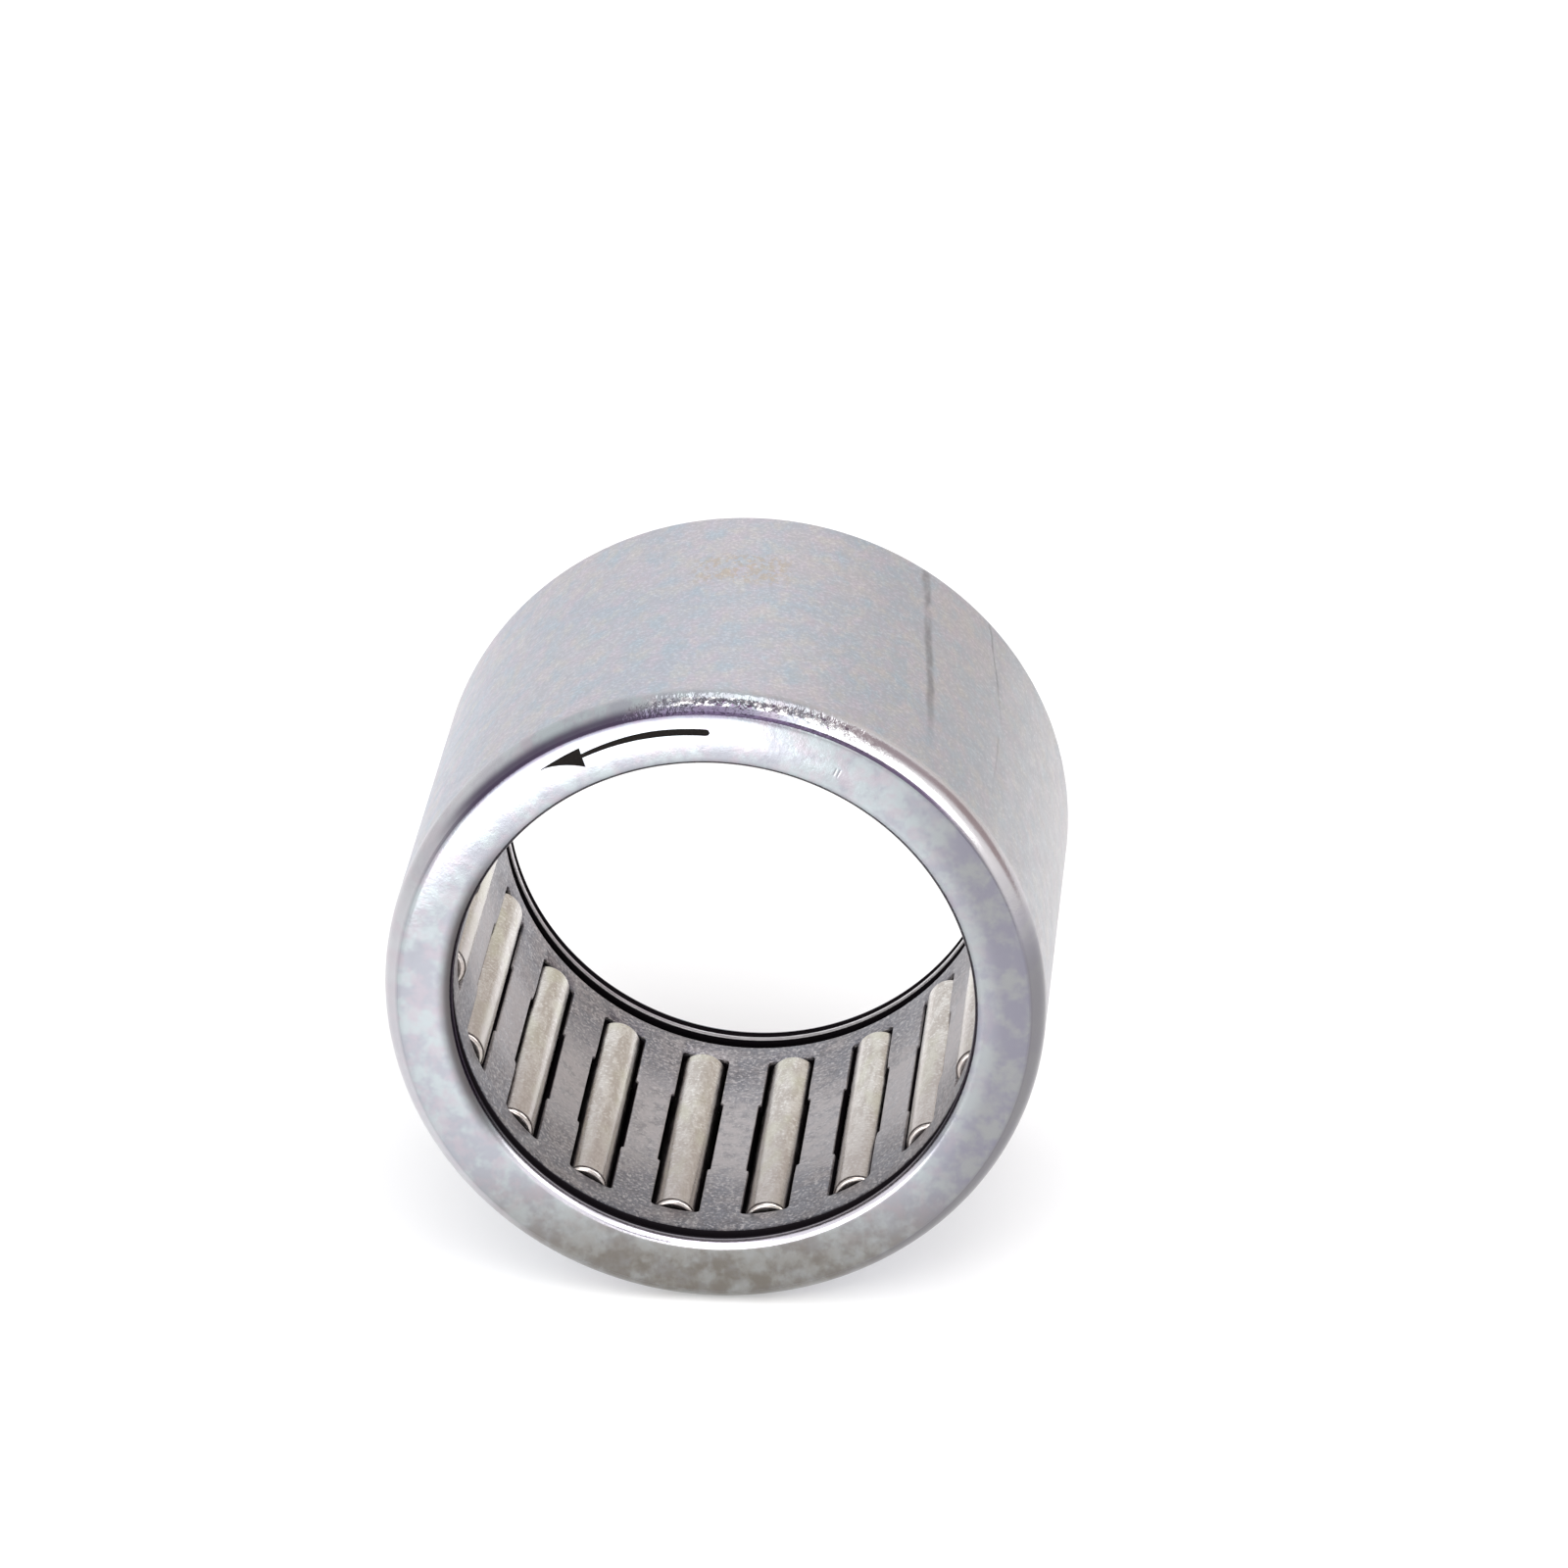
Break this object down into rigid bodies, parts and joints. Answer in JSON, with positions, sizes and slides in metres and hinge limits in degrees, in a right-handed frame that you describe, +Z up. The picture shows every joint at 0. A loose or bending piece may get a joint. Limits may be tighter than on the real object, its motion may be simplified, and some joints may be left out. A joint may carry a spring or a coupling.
{
  "type": "needle roller bearing",
  "caption": "Drawn cup needle roller bearing, open at both ends: a thin steel cup with turned-in lips holds a slotted cage of slim rollers that run straight on a shaft.",
  "frame": {"origin": "centre of the bearing, on its axis and midway between its two faces", "axes": "+Y along the bearing's axis from the front face, which has the printed arrow, to the back face; +Z up; +X to the right when looking at the front face"},
  "size_m": [0.026, 0.02, 0.026],
  "materials": {
    "cup_steel": "smooth satin, drawn and hardened, with a black printed arrow on the front face",
    "cage_steel": "matt grey pressed sheet",
    "roller_steel": "fine ground"
  },
  "bodies": {
    "bearing_cup": {"bearing_cup": "cup_steel"},
    "cage": {"cage": "cage_steel"},
    "roller_01": {"roller_01": "roller_steel"},
    "roller_02": {"roller_02": "roller_steel"},
    "roller_03": {"roller_03": "roller_steel"},
    "roller_04": {"roller_04": "roller_steel"},
    "roller_05": {"roller_05": "roller_steel"},
    "roller_06": {"roller_06": "roller_steel"},
    "roller_07": {"roller_07": "roller_steel"},
    "roller_08": {"roller_08": "roller_steel"},
    "roller_09": {"roller_09": "roller_steel"},
    "roller_10": {"roller_10": "roller_steel"},
    "roller_11": {"roller_11": "roller_steel"},
    "roller_12": {"roller_12": "roller_steel"},
    "roller_13": {"roller_13": "roller_steel"},
    "roller_14": {"roller_14": "roller_steel"},
    "roller_15": {"roller_15": "roller_steel"},
    "roller_16": {"roller_16": "roller_steel"},
    "roller_17": {"roller_17": "roller_steel"},
    "roller_18": {"roller_18": "roller_steel"}
  },
  "joints": [
    {"name": "cage_spin", "type": "hinge", "parent": "bearing_cup", "child": "cage", "pos_m": [0, 0, 0], "axis": [0, 1, 0], "continuous": true},
    {"name": "roller_01_spin", "type": "hinge", "parent": "cage", "child": "roller_01", "pos_m": [0.01103, -0.0002, 0], "axis": [0, 1, 0], "continuous": true},
    {"name": "roller_02_spin", "type": "hinge", "parent": "cage", "child": "roller_02", "pos_m": [0.01036, -0.0002, 0.00377], "axis": [0, 1, 0], "continuous": true},
    {"name": "roller_03_spin", "type": "hinge", "parent": "cage", "child": "roller_03", "pos_m": [0.00845, -0.0002, 0.00709], "axis": [0, 1, 0], "continuous": true},
    {"name": "roller_04_spin", "type": "hinge", "parent": "cage", "child": "roller_04", "pos_m": [0.00551, -0.0002, 0.00955], "axis": [0, 1, 0], "continuous": true},
    {"name": "roller_05_spin", "type": "hinge", "parent": "cage", "child": "roller_05", "pos_m": [0.00192, -0.0002, 0.01086], "axis": [0, 1, 0], "continuous": true},
    {"name": "roller_06_spin", "type": "hinge", "parent": "cage", "child": "roller_06", "pos_m": [-0.00192, -0.0002, 0.01086], "axis": [0, 1, 0], "continuous": true},
    {"name": "roller_07_spin", "type": "hinge", "parent": "cage", "child": "roller_07", "pos_m": [-0.00551, -0.0002, 0.00955], "axis": [0, 1, 0], "continuous": true},
    {"name": "roller_08_spin", "type": "hinge", "parent": "cage", "child": "roller_08", "pos_m": [-0.00845, -0.0002, 0.00709], "axis": [0, 1, 0], "continuous": true},
    {"name": "roller_09_spin", "type": "hinge", "parent": "cage", "child": "roller_09", "pos_m": [-0.01036, -0.0002, 0.00377], "axis": [0, 1, 0], "continuous": true},
    {"name": "roller_10_spin", "type": "hinge", "parent": "cage", "child": "roller_10", "pos_m": [-0.01103, -0.0002, 0], "axis": [0, 1, 0], "continuous": true},
    {"name": "roller_11_spin", "type": "hinge", "parent": "cage", "child": "roller_11", "pos_m": [-0.01036, -0.0002, -0.00377], "axis": [0, 1, 0], "continuous": true},
    {"name": "roller_12_spin", "type": "hinge", "parent": "cage", "child": "roller_12", "pos_m": [-0.00845, -0.0002, -0.00709], "axis": [0, 1, 0], "continuous": true},
    {"name": "roller_13_spin", "type": "hinge", "parent": "cage", "child": "roller_13", "pos_m": [-0.00551, -0.0002, -0.00955], "axis": [0, 1, 0], "continuous": true},
    {"name": "roller_14_spin", "type": "hinge", "parent": "cage", "child": "roller_14", "pos_m": [-0.00192, -0.0002, -0.01086], "axis": [0, 1, 0], "continuous": true},
    {"name": "roller_15_spin", "type": "hinge", "parent": "cage", "child": "roller_15", "pos_m": [0.00192, -0.0002, -0.01086], "axis": [0, 1, 0], "continuous": true},
    {"name": "roller_16_spin", "type": "hinge", "parent": "cage", "child": "roller_16", "pos_m": [0.00551, -0.0002, -0.00955], "axis": [0, 1, 0], "continuous": true},
    {"name": "roller_17_spin", "type": "hinge", "parent": "cage", "child": "roller_17", "pos_m": [0.00845, -0.0002, -0.00709], "axis": [0, 1, 0], "continuous": true},
    {"name": "roller_18_spin", "type": "hinge", "parent": "cage", "child": "roller_18", "pos_m": [0.01036, -0.0002, -0.00377], "axis": [0, 1, 0], "continuous": true}
  ],
  "couplings": [
    {"joint": "roller_01_spin", "follows": "cage_spin", "ratio": -12.04},
    {"joint": "roller_02_spin", "follows": "cage_spin", "ratio": -12.04},
    {"joint": "roller_03_spin", "follows": "cage_spin", "ratio": -12.04},
    {"joint": "roller_04_spin", "follows": "cage_spin", "ratio": -12.04},
    {"joint": "roller_05_spin", "follows": "cage_spin", "ratio": -12.04},
    {"joint": "roller_06_spin", "follows": "cage_spin", "ratio": -12.04},
    {"joint": "roller_07_spin", "follows": "cage_spin", "ratio": -12.04},
    {"joint": "roller_08_spin", "follows": "cage_spin", "ratio": -12.04},
    {"joint": "roller_09_spin", "follows": "cage_spin", "ratio": -12.04},
    {"joint": "roller_10_spin", "follows": "cage_spin", "ratio": -12.04},
    {"joint": "roller_11_spin", "follows": "cage_spin", "ratio": -12.04},
    {"joint": "roller_12_spin", "follows": "cage_spin", "ratio": -12.04},
    {"joint": "roller_13_spin", "follows": "cage_spin", "ratio": -12.04},
    {"joint": "roller_14_spin", "follows": "cage_spin", "ratio": -12.04},
    {"joint": "roller_15_spin", "follows": "cage_spin", "ratio": -12.04},
    {"joint": "roller_16_spin", "follows": "cage_spin", "ratio": -12.04},
    {"joint": "roller_17_spin", "follows": "cage_spin", "ratio": -12.04},
    {"joint": "roller_18_spin", "follows": "cage_spin", "ratio": -12.04}
  ]
}
